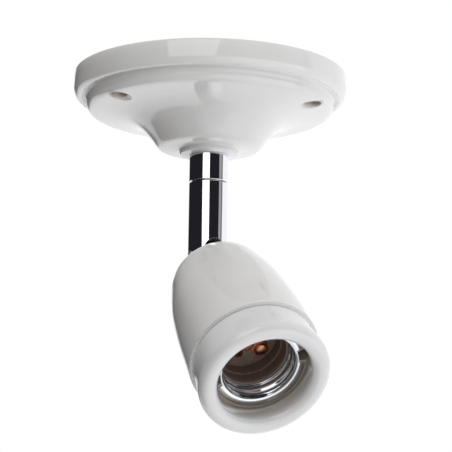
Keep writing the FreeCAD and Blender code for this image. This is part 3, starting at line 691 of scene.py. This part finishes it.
LOOKS = {
    "rose_porcelain": porcelain("glaze_rose", (0.83, 0.83, 0.82), (0.79, 0.79, 0.775), bare_holes),
    "dome_porcelain": porcelain("glaze_dome", (0.82, 0.82, 0.81), (0.78, 0.775, 0.76)),
    "skirt_porcelain": porcelain("glaze_skirt", (0.82, 0.83, 0.83), (0.78, 0.78, 0.775),
                                 shade_mouth_inside),
    # the core's brown tone is darkened past the stone's own, painted shade of the deep socket
    "steatite": matte("core_steatite_painted_shade", (0.22, 0.155, 0.12), (0.14, 0.095, 0.075), (0.35, 0.55),
                      bare_or_painted=light_core_outer_end),
    "block_steatite": matte("block_steatite", (0.80, 0.78, 0.72), (0.70, 0.67, 0.61)),
    "tube_chrome": metal("chrome_tube", (0.88, 0.89, 0.91), (0.84, 0.85, 0.88), (0.025, 0.07),
                         0.3, 0.0004, (1, 1, 6), bare_slot),
    "collar_chrome": metal("chrome_collar", (0.88, 0.89, 0.91), (0.84, 0.85, 0.88),
                           (0.025, 0.07), 0.3, 0.0004, (1, 1, 6)),
    "shell_nickel": metal("nickel_shell", (0.74, 0.76, 0.78), (0.66, 0.68, 0.70), (0.08, 0.17),
                          0.5, 0.001),
    "knuckle_bronze": metal("burnished_knuckle", (0.52, 0.48, 0.42), (0.36, 0.32, 0.27),
                            (0.38, 0.55), 0.3, 0.004),
    "zinc_steel": metal("zinc_steel", (0.66, 0.68, 0.70), (0.54, 0.56, 0.58), (0.25, 0.4)),
    "screw_steel": metal("screw_steel", (0.62, 0.62, 0.61), (0.48, 0.48, 0.47), (0.2, 0.36)),
    "spring_steel": metal("spring_steel", (0.36, 0.37, 0.40), (0.24, 0.25, 0.28), (0.2, 0.35)),
    "brass": metal("brass", (0.80, 0.62, 0.30), (0.66, 0.49, 0.22), (0.18, 0.34)),
    "copper": metal("copper", (0.70, 0.34, 0.18), (0.36, 0.15, 0.09), (0.18, 0.38),
                    bare_or_painted=shade_copper_off_rivet),
    "live_sleeve": matte("sleeve_brown", (0.20, 0.085, 0.04), (0.15, 0.06, 0.03), (0.4, 0.5)),
    "neutral_sleeve": matte("sleeve_blue", (0.05, 0.13, 0.42), (0.035, 0.10, 0.33), (0.4, 0.5)),
}


def earth_sleeve():
    look = Look("sleeve_earth")
    wave = add_node(look.tree, "TexWave")
    wave.wave_type = "BANDS"
    wave.bands_direction = "X"
    wave.inputs["Scale"].default_value = 260.0
    look.link(look.place, wave.inputs["Vector"])
    look.colour(wave.outputs["Fac"], [(0.49, (0.05, 0.26, 0.06)), (0.51, (0.72, 0.62, 0.06))])
    look.bump((look.noise(0.5, 3), 0.02))
    look.set(Roughness=0.45)
    return look.material


LOOKS["earth_sleeve"] = earth_sleeve()

for row in frame["record"]["subparts"]:
    piece = nodes[row["node"]]
    piece.data.materials.clear()
    piece.data.materials.append(LOOKS[row["material_slot"]])
for piece in (rose, dome, skirt, shell):
    piece.data.materials.clear()
    piece.data.materials.append(LOOKS[piece["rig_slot"]])

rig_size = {"cad": [list(v) for v in cad_box]}

# ---------------------------------------------------------------- camera

CAMERA_AT = (-111.84, -993.75, -280.58)
CAMERA_RIGHT = Vector((0.99249, -0.12157, 0.0143))
CAMERA_UP = Vector((-0.04047, -0.21522, 0.9757))
FOCAL_PX = 2815.3
PHOTO_PX = 452
SENSOR_MM = 36.0

cam_data = bpy.data.cameras.new("camera")
camera = bpy.data.objects.new("camera", cam_data)
bpy.context.scene.collection.objects.link(camera)
right = CAMERA_RIGHT.normalized()
up = (CAMERA_UP - right * CAMERA_UP.dot(right)).normalized()
back = right.cross(up)
camera.matrix_world = Matrix.Translation(Vector(CAMERA_AT) * MM) @ Matrix(
    (right, up, back)).transposed().to_4x4()
cam_data.sensor_width = SENSOR_MM
cam_data.lens = SENSOR_MM * FOCAL_PX / PHOTO_PX
cam_data.clip_start = 0.05
cam_data.clip_end = 30
bpy.context.scene.camera = camera

# ---------------------------------------------------------------- light and stage

CAMERA_BEARING = -96.4          # direction from the fixture to the camera, from +X
LIT_POINT = Vector((0, 0, -0.06))   # metres


def bearing(azimuth, elevation):
    """Unit vector from the fixture, azimuth degrees right of the camera."""
    a = math.radians(azimuth + CAMERA_BEARING)
    e = math.radians(elevation)
    return Vector((math.cos(a) * math.cos(e), math.sin(a) * math.cos(e), math.sin(e)))


def soft_box(name, azimuth, elevation, distance, size, radiance):
    """Soft box seen from the fixture at azimuth degrees right of the camera, in metres."""
    data = bpy.data.lights.new(name, "AREA")
    data.shape = "RECTANGLE"
    data.size, data.size_y = size
    data.energy = radiance * math.pi * size[0] * size[1]
    light = bpy.data.objects.new(name, data)
    bpy.context.scene.collection.objects.link(light)
    away = bearing(azimuth, elevation)
    light.location = LIT_POINT + away * distance
    light.rotation_euler = away.to_track_quat("Z", "Y").to_euler()
    light.visible_camera = False


soft_box("front_box", -15, 22, 1.6, (1.15, 1.5), 1.65)
soft_box("right_card", 75, 10, 1.6, (0.5, 1.6), 0.35)

FLOOR_Z = -1.7                  # metres
FLOOR_HALF = 20.0
corners = [(-1, -1), (1, -1), (1, 1), (-1, 1)]
floor_mesh = bpy.data.meshes.new("floor")
floor_mesh.from_pydata([(FLOOR_HALF * x, FLOOR_HALF * y, FLOOR_Z) for x, y in corners],
                       [], [(0, 1, 2, 3)])
floor = bpy.data.objects.new("floor", floor_mesh)
bpy.context.scene.collection.objects.link(floor)
floor_look = Look("pale_floor")
floor_look.colour(floor_look.noise(900, 3),
                  [(0.3, (0.93, 0.93, 0.93)), (0.7, (0.97, 0.97, 0.97))])
floor_look.set(Roughness=0.8)
floor_mesh.materials.append(floor_look.material)
# The light from below is the world's own, so the floor neither bounces nor blocks any.
floor.visible_diffuse = False
floor.visible_glossy = False
floor.visible_shadow = False
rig.stage(floor)

# The world is white to the camera.  To everything else it is a dark studio with a pale
# ceiling, a table below that is lit from one side, and a bright paper sweep that stands
# behind and to the right.

SWEEP_BEARING = 144             # degrees right of the camera
SWEEP_EDGE = ((0.55, (0, 0, 0)), (0.66, (1, 1, 1)))
SWEEP_LIGHT = (1.04, 1.04, 1.06)
DARK = (0.016, 0.015, 0.020)
SKY = ((0.64, DARK), (0.76, (0.55, 0.54, 0.53)), (1.0, (0.85, 0.85, 0.85)))
TABLE_BEARING = 70              # the table below is lit most on this side,
TABLE_ELEVATION = -30           # and this far down
TABLE = ((0.30, (0.03, 0.025, 0.02)), (0.64, (0.22, 0.21, 0.205)), (0.90, (1.45, 1.45, 1.48)))
TABLE_EDGE = ((0.38, (1, 1, 1)), (0.47, (0, 0, 0)))
BACK_BEARING = 183              # the sweep's foot spreads wider below the horizon
BACK_EDGE = ((0.70, (0, 0, 0)), (0.78, (1, 1, 1)))

world = bpy.data.worlds.new("studio")
bpy.context.scene.world = world
world.use_nodes = True
air = world.node_tree
air.nodes.clear()
join = air.links.new


def from_signed(value):
    """0 to 1 as the value goes from -1 to 1."""
    node = add_node(air, "MapRange")
    node.inputs["From Min"].default_value = -1
    join(value, node.inputs["Value"])
    return node.outputs["Result"]


def facing(value, azimuth, elevation=0):
    """1 where the value points to azimuth degrees right of the camera, -1 opposite."""
    return vector_math(air, "DOT_PRODUCT", value, bearing(azimuth, elevation), "Value")


direction = add_node(air, "TexCoord").outputs["Generated"]
level = vector_math(air, "NORMALIZE", vector_math(air, "MULTIPLY", direction, (1, 1, 0)))
split = add_node(air, "SeparateXYZ")
join(direction, split.inputs[0])
height = from_signed(split.outputs["Z"])
below_horizon = colour_ramp(air, height, TABLE_EDGE)
foot_mask = colour_ramp(air, facing(level, BACK_BEARING), BACK_EDGE)
sweep_mask = colour_ramp(air, facing(level, SWEEP_BEARING), SWEEP_EDGE)

sky = colour_ramp(air, height, SKY)
table_side = from_signed(facing(direction, TABLE_BEARING, TABLE_ELEVATION))
table = mix_colours(air, foot_mask, colour_ramp(air, table_side, TABLE), SWEEP_LIGHT)
around = mix_colours(air, below_horizon, sky, table)
around = mix_colours(air, sweep_mask, around, SWEEP_LIGHT)

studio = add_node(air, "Background")
join(around, studio.inputs["Color"])
paper = add_node(air, "Background")
paper.inputs["Color"].default_value = (1, 1, 1, 1)
choose = add_node(air, "MixShader")
join(add_node(air, "LightPath").outputs["Is Camera Ray"], choose.inputs[0])
join(studio.outputs[0], choose.inputs[1])
join(paper.outputs[0], choose.inputs[2])
join(choose.outputs[0], add_node(air, "OutputWorld").inputs[0])
bpy.context.scene.view_settings.view_transform = "Standard"

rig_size["visual"] = [list(v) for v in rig.bounds()]
with open("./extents.json", "w") as f:
    json.dump(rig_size, f)
